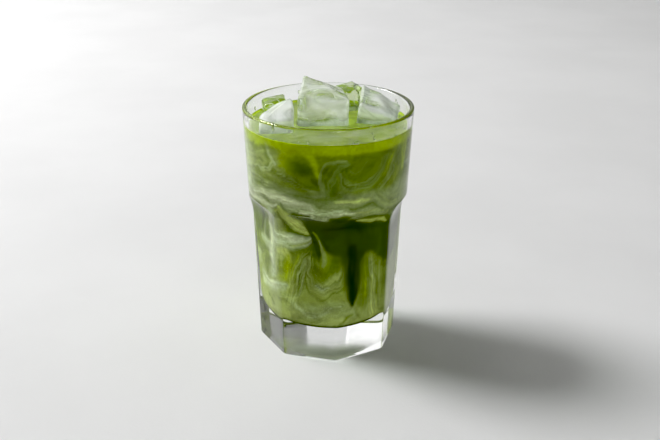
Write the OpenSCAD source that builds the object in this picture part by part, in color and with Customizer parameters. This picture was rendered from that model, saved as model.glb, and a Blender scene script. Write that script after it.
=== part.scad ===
// An iced matcha latte in a panelled glass tumbler.
// The tumbler stands on its foot at z = 0, with its axis on Z and a corner between two panels on -Y.
// Millimetres throughout.

/* [Tumbler outside] */
// Height from the table to the top of the rim
glass_h = 130; // [110:1:170]
// Diameter over the rim
rim_d = 88; // [78:1:104]
// Diameter at the lower edge of the round band
band_d = 83.6; // [74:0.2:100]
// Height of the band's lower edge, at the top of each panel's arch
band_z = 84; // [74:1:100]
// How much lower the band's edge comes at the corners between the panels
arch_rise = 2.5; // [1:0.5:4]
// Height at which the flat panels begin to flare out to the band
flare_z = 69; // [50:1:72]
// Diameter over the corners where the flare begins
waist_d = 79.2; // [70:0.2:84]
// Diameter over the corners at the foot
foot_d = 74.2; // [60:0.2:78]
// Number of flat panels round the lower body
panels = 8; // [6:1:12]
// How far the corners between the panels are rounded back
corner_soft = 0.3; // [0.1:0.05:1]
// Height of the bevel round the foot
foot_bevel = 1.4; // [0.6:0.1:3]

/* [Tumbler inside] */
// Wall thickness of the round band, at the rim
wall = 2.4; // [1.6:0.1:4]
// Thickness of the solid base at its middle
base_t = 15.5; // [6:0.5:22]
// Diameter of the bore just under the flare
bore_waist_d = 62; // [56:0.2:68]
// Diameter of the bore at the top of its rounded floor
bore_floor_d = 56.4; // [48:0.2:62]
// Height at which the bore begins to widen towards the band
bore_flare_z = 70; // [40:1:72]
// Height at which the bore has opened out to the band's wall
bore_band_z = 92; // [88:1:100]
// Radius between the bore's wall and its floor
floor_round = 8; // [3:0.5:14]
// Diameter of the hollow under the base
hollow_d = 52; // [30:1:56]
// Depth of the hollow under the base
hollow_t = 1.2; // [0.4:0.1:3]

/* [Drink] */
// How far the drink's surface is below the rim
headspace = 9.5; // [6:0.5:20]
// Bevel along the edges of each ice cube
ice_bevel = 1.1; // [0.4:0.1:2]
// Size of every ice cube, as a share of its own
ice_scale = 1; // [0.8:0.01:1]
// How far the whole heap of ice is turned about the tumbler's axis
ice_turn = -6.6; // [-180:0.1:180]

/* [Hidden] */
$fn = 96;
ARC_STEPS = 8;   // segments in each rounded part of an outline
BIG = 40;        // how far a cutter reaches past what it cuts
ARCH_REACH = 0.5; // how far each arch runs out past the band, so that it cuts it cleanly

rim_r = rim_d / 2;
band_r = band_d / 2;
waist_r = waist_d / 2;
foot_r = foot_d / 2;
half_panel = 180 / panels;
fill_z = glass_h - headspace;
bore_waist_r = bore_waist_d / 2;
bore_floor_r = bore_floor_d / 2;
band_wall = wall + 0.4;   // the band's wall where the bore has opened out to it
band_slope = (rim_r - band_r) / (glass_h - band_z);
corner_low_z = flare_z + 1;   // the corners begin to flare just above the panels
corner_top_z = band_z - arch_rise;
corner_top_r = band_r - band_slope * arch_rise;
bore_band_r = band_r + band_slope * (bore_band_z - band_z) - band_wall;
bore_rim_r = rim_r - wall;
bore_wall_z = base_t + floor_round;

// Radius over the corners, below the flare
function corner_r(z) = foot_r + (waist_r - foot_r) * z / flare_z;
// Distance from the axis to a flat panel, below the flare
function panel_r(z) = (corner_r(z) + corner_soft) * cos(half_panel);
// Runs from 0 to 1 with a level start and end
function ease(t) = (1 - cos(180 * t)) / 2;
// Points of an arc about [x, z], from angle a0 to a1
function arc(x, z, r, a0, a1) =
    [for (i = [0 : ARC_STEPS]) let (a = a0 + (a1 - a0) * i / ARC_STEPS) [x + r * cos(a), z + r * sin(a)]];

// The tumbler's outline before the panels are cut: foot, corners, flare, band and rounded rim
function outside_outline() = concat(
    [for (i = [0 : ARC_STEPS]) let (t = i / ARC_STEPS) [hollow_d / 2 * t, hollow_t * (1 - t * t)]],
    [[foot_r - foot_bevel, 0], [corner_r(foot_bevel), foot_bevel]],
    [for (i = [0 : ARC_STEPS]) let (t = i / ARC_STEPS)
        [waist_r + (corner_top_r - waist_r) * t * t, corner_low_z + (corner_top_z - corner_low_z) * t]],
    arc(rim_r - wall / 2, glass_h - wall / 2, wall / 2, 0, 180),
    [[0, glass_h - wall / 2]]
);

// The bore from its floor up to height top: rounded floor, tapered wall, flare and band
function bore_outline(top) = concat(
    [[0, base_t]],
    arc(bore_floor_r - floor_round, bore_wall_z, floor_round, -90, 0),
    [for (i = [0 : ARC_STEPS]) let (t = i / ARC_STEPS)
        [bore_waist_r + (bore_band_r - bore_waist_r) * ease(t), bore_flare_z + (bore_band_z - bore_flare_z) * t]],
    [[bore_r(top), top], [0, top]]
);

// Radius of the bore in the round band
function bore_r(z) = bore_band_r + (bore_rim_r - bore_band_r) * (z - bore_band_z) / (glass_h - bore_band_z);

// Side view of what one panel cuts away: flat below, then a quarter ellipse out to the band
module panel_side() {
    flare_r = band_r + ARCH_REACH - panel_r(flare_z);
    flare_h = band_z - flare_z;
    polygon(concat(
        [[panel_r(0) - foot_bevel, -BIG], [panel_r(0) - foot_bevel, 0], [panel_r(foot_bevel), foot_bevel]],
        [for (i = [0 : ARC_STEPS]) let (a = 90 * i / ARC_STEPS)
            [panel_r(flare_z) + flare_r * (1 - cos(a)), flare_z + flare_h * sin(a)]],
        [[band_r + BIG, band_z], [band_r + BIG, -BIG]]
    ));
}

module panel_cutter() {
    rotate([90, 0, 0])
        linear_extrude(height = 2 * band_r, center = true)
            panel_side();
}

module tumbler() {
    color([0.88, 0.94, 0.9, 0.35])
    difference() {
        rotate_extrude() polygon(outside_outline());
        for (i = [0 : panels - 1])
            rotate([0, 0, -90 + (2 * i + 1) * half_panel]) panel_cutter();
        rotate_extrude() polygon(bore_outline(glass_h + BIG));
    }
}

// ---- Ice ----
// Each cube is [centre, size, turn about x y z, lift of each corner of its top, pinch].
// The centres' heights are measured from the drink's surface. The lifts make the tops as uneven as
// ice is: front left, front right, back right, back left. The pinch narrows the back of the top.
// All are laid out for a bore of radius HEAP_R at the surface, and grow and shrink with it.
HEAP_R = 41;
ICE_CENTRE =     [[-3, 3, 2.6],        [25.6, 21.2, 25.8], [0, 1, 3],    [-0.5, -0.5, -0.5, 5.6], 2.6];
ICE_LEFT_FRONT = [[-26.1, -9, -2.9],   [16.8, 20, 21.6],   [1, 1, 3.5],  [-1.6, -0.5, 4.7, -3.3], 0];
ICE_LEFT_BACK =  [[-28, 14.6, -1.8],   [13, 11, 19],       [1, -6, 9.6], [-0.5, 1.2, 1, 0],       0];
ICE_BACK =       [[11.6, 27.4, 0.5],   [11, 14.4, 22.2],   [0, -1.6, 26], [-1.2, 0.3, 0.9, 0.2],  0];
ICE_RIGHT =      [[26, 5.7, -0.6],     [20.8, 18.4, 23.4], [10, 5, -5],  [-0.1, -4.9, -4.9, 3.6], 0];

SIDES = [[-1, -1], [1, -1], [1, 1], [-1, 1]];

// The corners of an uneven cube, each cut back along its three edges by the bevel
function bevelled(size, lift, pinch) = [
    for (k = [0 : 3]) for (top = [-1, 1]) for (cut = [[0, 1, 1], [1, 0, 1], [1, 1, 0]])
        [SIDES[k][0] * (size[0] / 2 - cut[0] * ice_bevel - (top > 0 && SIDES[k][1] > 0 ? pinch : 0)),
         SIDES[k][1] * (size[1] / 2 - cut[1] * ice_bevel),
         top * (size[2] / 2 - cut[2] * ice_bevel) + (top > 0 ? lift[k] : 0)]
];

module ice(cube) {
    translate([0, 0, fill_z])
        rotate([0, 0, ice_turn])
            scale(bore_r(fill_z) / HEAP_R)
                translate(cube[0])
                    rotate(cube[2])
                        hull()
                            polyhedron(
                                points = bevelled(ice_scale * cube[1], cube[3], cube[4]),
                                faces = [[for (i = [0 : 23]) i]]
                            );
}

module ice_centre() color([0.86, 0.93, 0.88, 0.5]) ice(ICE_CENTRE);
module ice_left_front() color([0.86, 0.93, 0.88, 0.5]) ice(ICE_LEFT_FRONT);
module ice_left_back() color([0.86, 0.93, 0.88, 0.5]) ice(ICE_LEFT_BACK);
module ice_back() color([0.86, 0.93, 0.88, 0.5]) ice(ICE_BACK);
module ice_right() color([0.86, 0.93, 0.88, 0.5]) ice(ICE_RIGHT);

// The drink fills the bore up to its surface, round the ice that floats in it
module drink() {
    color([0.45, 0.58, 0.12])
    difference() {
        rotate_extrude() polygon(bore_outline(fill_z));
        ice(ICE_CENTRE);
        ice(ICE_LEFT_FRONT);
        ice(ICE_LEFT_BACK);
        ice(ICE_BACK);
        ice(ICE_RIGHT);
    }
}

tumbler();
drink();
ice_centre();
ice_left_front();
ice_left_back();
ice_back();
ice_right();
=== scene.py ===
import math

import bmesh
import bpy
import numpy as np
from mathutils import Matrix, Vector


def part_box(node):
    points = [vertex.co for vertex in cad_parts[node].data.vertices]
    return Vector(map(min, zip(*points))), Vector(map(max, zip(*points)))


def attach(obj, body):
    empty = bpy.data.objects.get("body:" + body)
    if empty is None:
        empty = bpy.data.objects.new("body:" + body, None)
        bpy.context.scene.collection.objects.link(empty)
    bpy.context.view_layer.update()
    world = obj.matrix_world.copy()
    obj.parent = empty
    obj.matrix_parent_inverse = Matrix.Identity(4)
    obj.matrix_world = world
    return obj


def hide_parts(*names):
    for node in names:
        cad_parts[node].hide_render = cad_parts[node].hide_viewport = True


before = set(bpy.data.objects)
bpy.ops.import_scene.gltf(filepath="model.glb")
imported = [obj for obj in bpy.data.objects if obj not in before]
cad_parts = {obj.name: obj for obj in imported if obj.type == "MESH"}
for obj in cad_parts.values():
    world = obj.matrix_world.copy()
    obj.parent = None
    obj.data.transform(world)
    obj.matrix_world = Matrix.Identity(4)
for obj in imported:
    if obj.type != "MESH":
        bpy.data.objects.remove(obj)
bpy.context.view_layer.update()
MM = 0.001

# ---- sizes, in millimetres, as in the CAD
GLASS_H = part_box("tumbler")[1].z / MM
RIM_R, BAND_R = 44.0, 41.8
BAND_Z, FLARE_Z, ARCH_RISE, ARCH_REACH = 84.0, 69.0, 2.5, 0.5
WAIST_R, FOOT_R, CORNER_SOFT = 39.6, 37.1, 0.3
FOOT_ROUND = 1.4
WALL, BASE_T = 2.4, 15.5
BORE_WAIST_R, BORE_FLOOR_R, FLOOR_ROUND = 31.0, 28.2, 8.0
BORE_FLARE_Z, BORE_BAND_Z = 70.0, 92.0
HOLLOW_R, HOLLOW_T = 26.0, 1.2
FILL_Z = 120.5
PANELS = 8
HALF_PANEL = math.pi / PANELS
BAND_SLOPE = (RIM_R - BAND_R) / (GLASS_H - BAND_Z)
BAND_WALL = WALL + 0.4   # the wall where the bore has opened out to the band
BORE_BAND_R = BAND_R + BAND_SLOPE * (BORE_BAND_Z - BAND_Z) - BAND_WALL

# ---- looks: lengths in millimetres, and counts
BRIGHT_RIM_Z, BRIGHT_FOOT_Z = 125.0, 12.0   # above and below these the glass shines fully
WET_FROM, WET_TO = 0.5, 7.0      # heights above the drink between which the ice's wetness fades
EMBED = 0.15          # how far the drink reaches into the wall, so that no air gap shows
SNUG = 0.12           # how much smaller than its cube each hole in the drink is, for the same reason
MENISCUS_H, MENISCUS_W = 1.1, 0.9   # how high the drink climbs the wall, and over what width
CORNER_ROUND = 0.8    # radius of the corners between the panels
RIDGE_ROUND = 0.9     # how softly panels and band run into each other
RIM_INSET = 0.03      # how far the rounded rim stays inside the CAD box
ICE_VOXEL = 0.5       # size of the faces of the ice's mesh
ICE_WAVES, ICE_DENT = 10, 0.16      # number and depth of the waves in the ice
DRINK_AROUND, DRINK_UP = 360, 132   # points round and up the drink's wall
FAR_STROKES, SMALL_BUBBLES, DROPS = 96, 46, 20


def ease(t):
    return (1 - np.cos(np.pi * t)) / 2


def smooth_min(a, b, k):
    h = np.clip(k - np.abs(a - b), 0, None) / k
    return np.minimum(a, b) - h * h * k / 4


# ---- the tumbler's outside and bore
def round_r(z):
    """Radius of the turned outline: corners, their flare, and the band."""
    low = FOOT_R + (WAIST_R - FOOT_R) * z / FLARE_Z
    top_z, low_z = BAND_Z - ARCH_RISE, FLARE_Z + 1
    top_r = BAND_R - BAND_SLOPE * ARCH_RISE
    t = np.clip((z - low_z) / (top_z - low_z), 0, 1)
    flare = WAIST_R + (top_r - WAIST_R) * t * t
    return np.where(z < low_z, low, np.where(z < top_z, flare, BAND_R + BAND_SLOPE * (z - BAND_Z)))


def panel_r(z):
    """Distance from the axis to a flat panel, or far out above the panels."""
    corner = FOOT_R + (WAIST_R - FOOT_R) * np.minimum(z, FLARE_Z) / FLARE_Z
    flat = (corner + CORNER_SOFT) * math.cos(HALF_PANEL)
    at_flare = (WAIST_R + CORNER_SOFT) * math.cos(HALF_PANEL)
    t = np.clip((z - FLARE_Z) / (BAND_Z - FLARE_Z), 0, 1)
    out = (BAND_R + ARCH_REACH - at_flare) * (1 - np.sqrt(1 - t * t))
    return np.where(z > BAND_Z, 2 * RIM_R, flat + out)


def outside_r(angle, z, inset=0.0):
    """Outer radius of the glass at an angle and a height."""
    beta = np.abs((angle + math.pi / 2 + HALF_PANEL) % (2 * HALF_PANEL) - HALF_PANEL)
    a = panel_r(z) - inset
    centre = (a - CORNER_ROUND) / math.cos(HALF_PANEL)
    turn = np.arctan2(CORNER_ROUND * math.sin(HALF_PANEL), centre + CORNER_ROUND * math.cos(HALF_PANEL))
    arc = centre * np.cos(beta) + np.sqrt(np.clip(CORNER_ROUND ** 2 - (centre * np.sin(beta)) ** 2, 0, None))
    faceted = np.where(beta < turn, arc, a / np.cos(HALF_PANEL - beta))
    return smooth_min(faceted, round_r(z) - inset, RIDGE_ROUND)


def bore_profile(top, steps, grow=0.0):
    """(radius, height) points from the floor's middle, round the floor's edge and up to the height top."""
    pts = [(r, BASE_T) for r in np.linspace(0.5, BORE_FLOOR_R - FLOOR_ROUND, steps // 8, endpoint=False)]
    for a in np.linspace(-90, 0, steps // 6, endpoint=False):
        pts.append((BORE_FLOOR_R - FLOOR_ROUND + FLOOR_ROUND * math.cos(math.radians(a)),
                    BASE_T + FLOOR_ROUND + FLOOR_ROUND * math.sin(math.radians(a))))
    for z in np.linspace(BASE_T + FLOOR_ROUND, top, steps):
        pts.append((float(bore_r(z)), z))
    pts = np.array(pts)
    pts[:, 0] += grow * np.clip((pts[:, 1] - BASE_T) / FLOOR_ROUND, 0, 1)
    pts[:, 1] -= grow * np.clip(1 - (pts[:, 1] - BASE_T) / FLOOR_ROUND, 0, 1)
    return pts


def bore_r(z):
    """Radius of the bore above its rounded floor."""
    wall_h = BORE_FLARE_Z - BASE_T - FLOOR_ROUND
    low = BORE_FLOOR_R + (BORE_WAIST_R - BORE_FLOOR_R) * (z - BASE_T - FLOOR_ROUND) / wall_h
    t = np.clip((z - BORE_FLARE_Z) / (BORE_BAND_Z - BORE_FLARE_Z), 0, 1)
    mid = BORE_WAIST_R + (BORE_BAND_R - BORE_WAIST_R) * ease(t)
    high = BORE_BAND_R + (RIM_R - WALL - BORE_BAND_R) * (z - BORE_BAND_Z) / (GLASS_H - BORE_BAND_Z)
    return np.where(z < BORE_FLARE_Z, low, np.where(z < BORE_BAND_Z, mid, high))


def surface_z(from_wall):
    """Height of the drink's surface at a distance from the wall."""
    return FILL_Z + MENISCUS_H * math.exp(-from_wall / MENISCUS_W)


# ---- mesh helpers
def placed(name, data):
    """A new object in the scene."""
    obj = bpy.data.objects.new(name, data)
    bpy.context.scene.collection.objects.link(obj)
    return obj


def shell(name, rings):
    """A closed mesh from rings of points, in millimetres, each end closed at its ring's middle."""
    count, around = rings.shape[:2]
    points = np.concatenate([rings.reshape(-1, 3), rings[:1].mean(1), rings[-1:].mean(1)]) * MM
    i = np.arange(count - 1)[:, None] * around
    j = np.arange(around)[None, :]
    k = (j + 1) % around
    quads = np.stack([i + j, i + k, i + around + k, i + around + j], -1).reshape(-1, 4)
    first, last = count * around, count * around + 1
    j, k = j[0], k[0]
    start = np.stack([np.full(around, first), k, j], -1)
    end = np.stack([np.full(around, last), (count - 1) * around + j, (count - 1) * around + k], -1)
    mesh = bpy.data.meshes.new(name)
    mesh.from_pydata(points.tolist(), [], quads.tolist() + start.tolist() + end.tolist())
    mesh.shade_smooth()
    return placed(name, mesh)


def ring(angles, radius, z):
    """Points round the axis."""
    radius = np.broadcast_to(radius, angles.shape)
    return np.stack([radius * np.cos(angles), radius * np.sin(angles), np.broadcast_to(z, angles.shape)], -1)


def apply_modifiers(obj):
    """Replaces obj's mesh by what its modifiers make of it."""
    made = bpy.data.meshes.new_from_object(obj.evaluated_get(bpy.context.evaluated_depsgraph_get()))
    obj.modifiers.clear()
    obj.data = made
    return obj


def coords(mesh):
    """Places of a mesh's points, in millimetres."""
    co = np.empty(len(mesh.vertices) * 3)
    mesh.vertices.foreach_get("co", co)
    return co.reshape(-1, 3) / MM


def coords_of_faces(mesh):
    """Middles of a mesh's faces, in millimetres."""
    middle = np.empty(len(mesh.polygons) * 3)
    mesh.polygons.foreach_get("center", middle)
    return middle.reshape(-1, 3) / MM


# ---- node helpers
class Nodes:
    """A material's node tree, built by short calls."""

    def __init__(self, name):
        self.material = bpy.data.materials.new(name)
        self.material.use_nodes = True
        self.tree = self.material.node_tree
        self.tree.nodes.clear()
        self.out = self.tree.nodes.new("ShaderNodeOutputMaterial")

    def add(self, kind, settings=None, **inputs):
        node = self.tree.nodes.new("ShaderNode" + kind)
        for key, value in (settings or {}).items():
            setattr(node, key, value)
        for key, value in inputs.items():
            self.set(node, key.replace("_", " "), value)
        return node

    def set(self, node, key, value):
        socket = node.inputs[int(key)] if key.isdigit() else node.inputs[key]
        if isinstance(value, bpy.types.NodeSocket):
            self.tree.links.new(value, socket)
        else:
            socket.default_value = value

    def math(self, operation, a, b=0.0, clamp=False):
        node = self.add("Math", {"operation": operation, "use_clamp": clamp})
        self.set(node, "0", a)
        self.set(node, "1", b)
        return node.outputs[0]

    def mix(self, fac, a, b, blend="MIX"):
        node = self.add("Mix", {"data_type": "RGBA", "blend_type": blend})
        for key, value in (("0", fac), ("6", a), ("7", b)):
            self.set(node, key, value)
        return node.outputs[2]

    def noise(self, scale, detail=3.0, vector=None, **more):
        if vector is None:
            vector = self.place()
        return self.add("TexNoise", Vector=vector, Scale=scale, Detail=detail, **more).outputs[0]

    def place(self):
        if not hasattr(self, "_place"):
            self._place = self.add("TexCoord").outputs["Object"]
        return self._place

    def ramp(self, value, low, high):
        node = self.add("MapRange", {"interpolation_type": "SMOOTHSTEP"})
        for key, v in (("Value", value), ("From Min", low), ("From Max", high)):
            self.set(node, key, v)
        return node.outputs[0]

    def bump(self, height, strength, distance):
        return self.add("Bump", Height=height, Strength=strength, Distance=distance).outputs[0]

    def finish(self, shader):
        self.tree.links.new(shader, self.out.inputs["Surface"])
        return self.material


def lamp_through(n, shader, tint):
    """Lets lamps light what is behind a clear piece."""
    clear = n.add("BsdfTransparent", Color=tint)
    path = n.add("LightPath")
    mix = n.add("MixShader")
    for k, value in enumerate((path.outputs["Is Shadow Ray"], shader.outputs[0], clear.outputs[0])):
        n.tree.links.new(value, mix.inputs[k])
    return mix.outputs[0]


# ---- materials
def glass_material(name, ground, shine):
    """Clear glass. ground is its least roughness, shine how much of its mirror-like reflection it keeps."""
    n = Nodes(name)
    waves = n.noise(28.0, 2.0)
    seeds = n.noise(160.0, 1.0)
    height = n.math("ADD", waves, n.math("MULTIPLY", seeds, 0.06))
    rough = n.math("ADD", n.math("MULTIPLY", n.ramp(n.noise(60.0, 4.0), 0.45, 0.8), 0.02), ground)
    shader = n.add("BsdfPrincipled", Base_Color=(0.985, 0.995, 0.99, 1), IOR=1.5, Roughness=rough,
                   Normal=n.bump(height, 0.12, 0.0004))
    n.set(shader, "Transmission Weight", 1.0)
    n.set(shader, "Specular Tint", (shine, 1.04 * shine, shine, 1))
    return n.finish(lamp_through(n, shader, (0.93, 0.96, 0.94, 1)))


def ice_material(name, frost, tint):
    """Clear ice of a tint, with veils of frost over the share given, and a few cracks."""
    n = Nodes(name)
    waves = n.noise(70.0, 2.0)
    pits = n.noise(420.0, 2.0)
    height = n.math("ADD", waves, n.math("MULTIPLY", pits, 0.12))
    veil = n.ramp(n.noise(42.0, 4.0, Distortion=1.6), 0.70 - 0.55 * frost, 1.05 - 0.55 * frost)
    ridge = n.math("ABSOLUTE", n.math("SUBTRACT", n.noise(48.0, 2.0, Distortion=1.0), 0.5))
    crack = n.math("MULTIPLY", n.ramp(ridge, 0.012, 0.0), 0.7)
    height_up = n.add("SeparateXYZ", Vector=n.place()).outputs["Z"]
    dry = n.ramp(height_up, (FILL_Z + WET_FROM) * MM, (FILL_Z + WET_TO) * MM)
    cover = n.math("ADD", n.math("MULTIPLY", dry, 0.55), 0.28)
    white = n.math("MULTIPLY", n.math("MAXIMUM", veil, crack), cover)
    rough = n.math("ADD", n.math("MULTIPLY", white, 0.25), 0.01)
    colour = n.mix(white, tint + (1,), (0.90, 0.93, 0.90, 1))
    shader = n.add("BsdfPrincipled", Base_Color=colour, IOR=1.31, Roughness=rough,
                   Normal=n.bump(height, 0.4, 0.001))
    n.set(shader, "Transmission Weight", n.math("SUBTRACT", 1.0, white))
    return n.finish(lamp_through(n, shader, (0.9, 0.94, 0.9, 1)))


def water_material():
    """The drops and bubbles, faintly green."""
    n = Nodes("water")
    shader = n.add("BsdfPrincipled", Base_Color=(0.86, 0.92, 0.72, 1), IOR=1.33,
                   Roughness=n.math("MULTIPLY", n.noise(300.0), 0.03),
                   Normal=n.bump(n.noise(200.0), 0.1, 0.0003))
    n.set(shader, "Transmission Weight", 1.0)
    return n.finish(lamp_through(n, shader, (0.92, 0.95, 0.9, 1)))


def drink_material(name, specular, rough):
    """The painted swirls under a fine grain."""
    n = Nodes(name)
    swirl = n.add("Attribute", {"attribute_name": "swirl"}).outputs["Color"]
    fine = n.ramp(n.noise(900.0, 4.0, Distortion=1.5), 0.25, 0.75)
    colour = n.mix(n.math("MULTIPLY", fine, 0.22), swirl, (0.0, 0.0, 0.0, 1))
    shader = n.add("BsdfPrincipled", Base_Color=colour, IOR=1.34,
                   Roughness=n.math("ADD", n.math("MULTIPLY", n.noise(80.0), 0.08), rough))
    n.set(shader, "Specular IOR Level", specular)
    return n.finish(shader.outputs[0])


def floor_material():
    n = Nodes("floor")
    grain = n.noise(9.0, 6.0)
    colour = n.mix(n.ramp(grain, 0.3, 0.7), (0.755, 0.755, 0.755, 1), (0.785, 0.785, 0.785, 1))
    rough = n.math("ADD", n.math("MULTIPLY", grain, 0.1), 0.8)
    shader = n.add("BsdfPrincipled", Base_Color=colour, Roughness=rough,
                   Normal=n.bump(n.noise(700.0, 3.0), 0.15, 0.0005))
    n.set(shader, "Specular IOR Level", 0.1)
    return n.finish(shader.outputs[0])


# ---- the tumbler
def make_tumbler():
    """The glass, turned from rings: hollow, foot, panels and band, rim, then down the bore."""
    per_panel = 40
    u = np.arange(per_panel) / per_panel
    within = (0.2 * u + 0.8 * ease(u)) * 2 * HALF_PANEL   # closer together at the corners
    angles = (-math.pi / 2 + np.arange(PANELS)[:, None] * 2 * HALF_PANEL + within[None, :]).ravel()
    rings = []
    for r in np.linspace(0.5, HOLLOW_R, 14):
        rings.append(ring(angles, r, HOLLOW_T * (1 - (r / HOLLOW_R) ** 2)))
    foot = outside_r(angles, np.zeros_like(angles), FOOT_ROUND)
    for u in np.linspace(0, 1, 5)[1:-1]:
        rings.append(ring(angles, HOLLOW_R + (foot - HOLLOW_R) * u, 0.0))
    for a in np.linspace(0, 90, 9):
        z = FOOT_ROUND * (1 - math.cos(math.radians(a)))
        inset = FOOT_ROUND * (1 - math.sin(math.radians(a)))
        rings.append(ring(angles, outside_r(angles, np.full_like(angles, z), inset), z))
    panels = np.linspace(FOOT_ROUND, FLARE_Z, 22)[1:-1]
    arches = np.linspace(FLARE_Z, BAND_Z + 1, 46)
    band = np.linspace(BAND_Z + 1, GLASS_H - WALL / 2, 18)[1:]
    for z in np.concatenate([panels, arches, band]):
        rings.append(ring(angles, outside_r(angles, np.full_like(angles, z)), z))
    for a in np.linspace(0, 180, 21)[1:-1]:
        rings.append(ring(angles, RIM_R - WALL / 2 * (1 - math.cos(math.radians(a))) - RIM_INSET,
                          GLASS_H - WALL / 2 + WALL / 2 * math.sin(math.radians(a))))
    for r, z in bore_profile(GLASS_H - WALL / 2, 70)[::-1]:
        rings.append(ring(angles, r, z))
    obj = shell("tumbler_glass", np.array(rings))
    kinds = (("clear_glass", 0.0, 0.35), ("ground_glass", 0.22, 0.35), ("bright_glass", 0.0, 0.95))
    for name, ground, shine in kinds:
        obj.data.materials.append(glass_material(name, ground, shine))
    middle = coords_of_faces(obj.data)
    under = (middle[:, 2] < HOLLOW_T) & (np.hypot(middle[:, 0], middle[:, 1]) < HOLLOW_R)
    bright = (middle[:, 2] > BRIGHT_RIM_Z) | (middle[:, 2] < BRIGHT_FOOT_Z)
    which = np.where(under, 1, np.where(bright, 2, 0)).astype(np.int32)
    obj.data.polygons.foreach_set("material_index", which)
    return obj


# ---- the ice
def make_ice(node, seed, frost, tint):
    """The CAD cube, rounded, dented and rippled as melting ice is."""
    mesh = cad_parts[node].data.copy()
    mesh.name = node + "_melted"
    obj = placed(node + "_melted", mesh)
    mesh.materials.clear()
    bm = bmesh.new()
    bm.from_mesh(mesh)
    bmesh.ops.remove_doubles(bm, verts=bm.verts, dist=1e-6)
    bm.to_mesh(mesh)
    bm.free()
    remesh = obj.modifiers.new("voxels", "REMESH")
    remesh.mode = "VOXEL"
    remesh.voxel_size = ICE_VOXEL * MM
    smooth = obj.modifiers.new("round", "SMOOTH")
    smooth.factor, smooth.iterations = 0.5, 1
    apply_modifiers(obj)
    co = coords(obj.data)
    rng = np.random.default_rng(seed)
    middle = (co.max(0) + co.min(0)) / 2
    size = (co.max(0) - co.min(0)) / 2
    shift = np.zeros_like(co)
    for wave in range(ICE_WAVES):
        k = rng.normal(size=3)
        k *= rng.uniform(0.15, 0.55) / np.linalg.norm(k)
        shift += rng.normal(size=3) * ICE_DENT * np.sin(co @ k + rng.uniform(0, 6.28))[:, None]
    co = np.clip(co + shift, middle - size, middle + size)
    obj.data.vertices.foreach_set("co", (co * MM).ravel())
    obj.data.shade_smooth()
    obj.data.materials.append(ice_material(node + "_frost", frost, tint))
    return obj


# ---- the drink's swirls
# Colours are linear. Places are [degrees round from the corner on -Y, height in mm, half width in mm].
# LIME_GLOW and GLOW are the drink's green with painted glow: as bright as where light shines through the thin
# liquid near its surface and edges.
LIME_GLOW, LIME_SOFT = (0.40, 0.54, 0.005), (0.23, 0.33, 0.005)
GLOW, MEADOW = (0.31, 0.41, 0.01), (0.27, 0.35, 0.06)
OLIVE, MOSS = (0.160, 0.230, 0.012), (0.085, 0.140, 0.002)
DEEP, FOREST, BLACK = (0.044, 0.072, 0.001), (0.06, 0.1, 0.001), (0.016, 0.026, 0.0)
SAGE, CLOUD, CREAM = (0.30, 0.375, 0.14), (0.56, 0.67, 0.37), (0.78, 0.86, 0.52)
LEAF, PALE, STRAW = (0.58, 0.70, 0.17), (0.37, 0.45, 0.13), (0.66, 0.76, 0.20)
HAZE, STEM = (0.165, 0.24, 0.055), (0.43, 0.53, 0.15)
SUNK_ICE, MILKY_FLOOR = (0.30, 0.38, 0.16), (0.62, 0.68, 0.50)
# LIT_BED: the drink's face round each cube under the surface, painted pale as if lit where shade falls
LIT_BED, BED_GREEN = (0.80, 0.86, 0.74), (0.25, 0.34, 0.12)   # the drink's face round each cube
FINE = {"streaks": 0.9, "strand": 0.8}   # settings of a stroke of fine strands
MM_PER_DEGREE = 0.56   # along the bore, roughly


def lattice_noise(points, size, seed):
    """Smooth noise from -1 to 1 at points, with features about size across."""
    p = points / size
    cell = np.floor(p).astype(np.int64)
    f = p - cell
    f = f * f * (3 - 2 * f)
    total = np.zeros(len(p))
    for corner in range(8):
        offset = np.array([corner & 1, corner >> 1 & 1, corner >> 2])
        weight = np.prod(np.where(offset, f, 1 - f), axis=1)
        key = ((cell + offset) @ np.array([73856093, 19349663, 83492791]) + seed * 2654435761) & 0xFFFFFFFF
        key = ((key ^ (key >> 15)) * 2246822519) & 0xFFFFFFFF
        key = ((key ^ (key >> 13)) * 3266489917) & 0xFFFFFFFF
        total += weight * ((key ^ (key >> 16)) / 2 ** 31 - 1)
    return total


def smooth_curve(route, steps=9):
    """Points of a smooth curve through those of a route."""
    p = np.array(route, float)
    p = np.vstack([2 * p[0] - p[1], p, 2 * p[-1] - p[-2]])
    t = np.linspace(0, 1, steps, endpoint=False)[:, None]
    spans = []
    for a, b, c, d in zip(p, p[1:], p[2:], p[3:]):
        square, cube = 2 * a - 5 * b + 4 * c - d, 3 * b - a - 3 * c + d
        spans.append(0.5 * (2 * b + (c - a) * t + square * t ** 2 + cube * t ** 3))
    return np.vstack(spans + [p[-2:-1]])


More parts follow.
